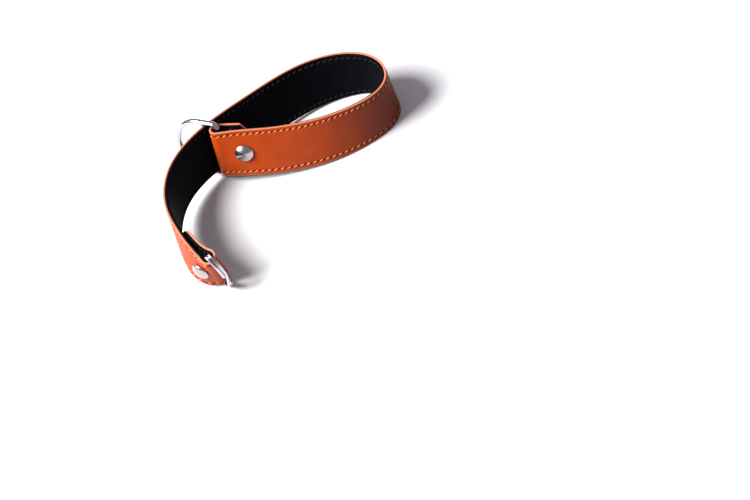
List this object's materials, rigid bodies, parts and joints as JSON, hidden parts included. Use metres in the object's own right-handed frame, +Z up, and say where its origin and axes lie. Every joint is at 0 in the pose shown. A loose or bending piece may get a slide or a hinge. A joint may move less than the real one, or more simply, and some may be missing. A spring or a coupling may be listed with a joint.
{
  "type": "camera wrist strap",
  "caption": "Slip-loop camera wrist strap: a flat tan leather strip with a dark lining, standing on its edge, threaded through a D-ring, with a riveted split ring on its tail",
  "frame": {"origin": "on the surface that the strap stands on, under the middle of its bounding box", "axes": "+Z up, across the width of the strap; +Y along the whole strap from the tail's split ring towards the back of the loop; +X towards the far end of the loop"},
  "size_m": [0.1076, 0.1255, 0.0325],
  "materials": {
    "leather": "smooth tan, semi-matt",
    "lining": "smooth black, matt",
    "ring_metal": "polished",
    "rivet_metal": "polished"
  },
  "bodies": {
    "strap": {"strap_leather": "leather", "strap_lining": "lining", "d_ring": "ring_metal", "loop_rivet_cap": "rivet_metal", "loop_rivet_base": "rivet_metal", "end_rivet_cap": "rivet_metal", "end_rivet_base": "rivet_metal"},
    "split_ring": {"split_ring": "ring_metal"}
  },
  "joints": [
    {"name": "split_ring_swing", "type": "hinge", "parent": "strap", "child": "split_ring", "pos_m": [-0.03188, -0.05284, 0.01463], "axis": [0.0246, -0.3132, 0.9494], "range_deg": [-40, 90]}
  ]
}
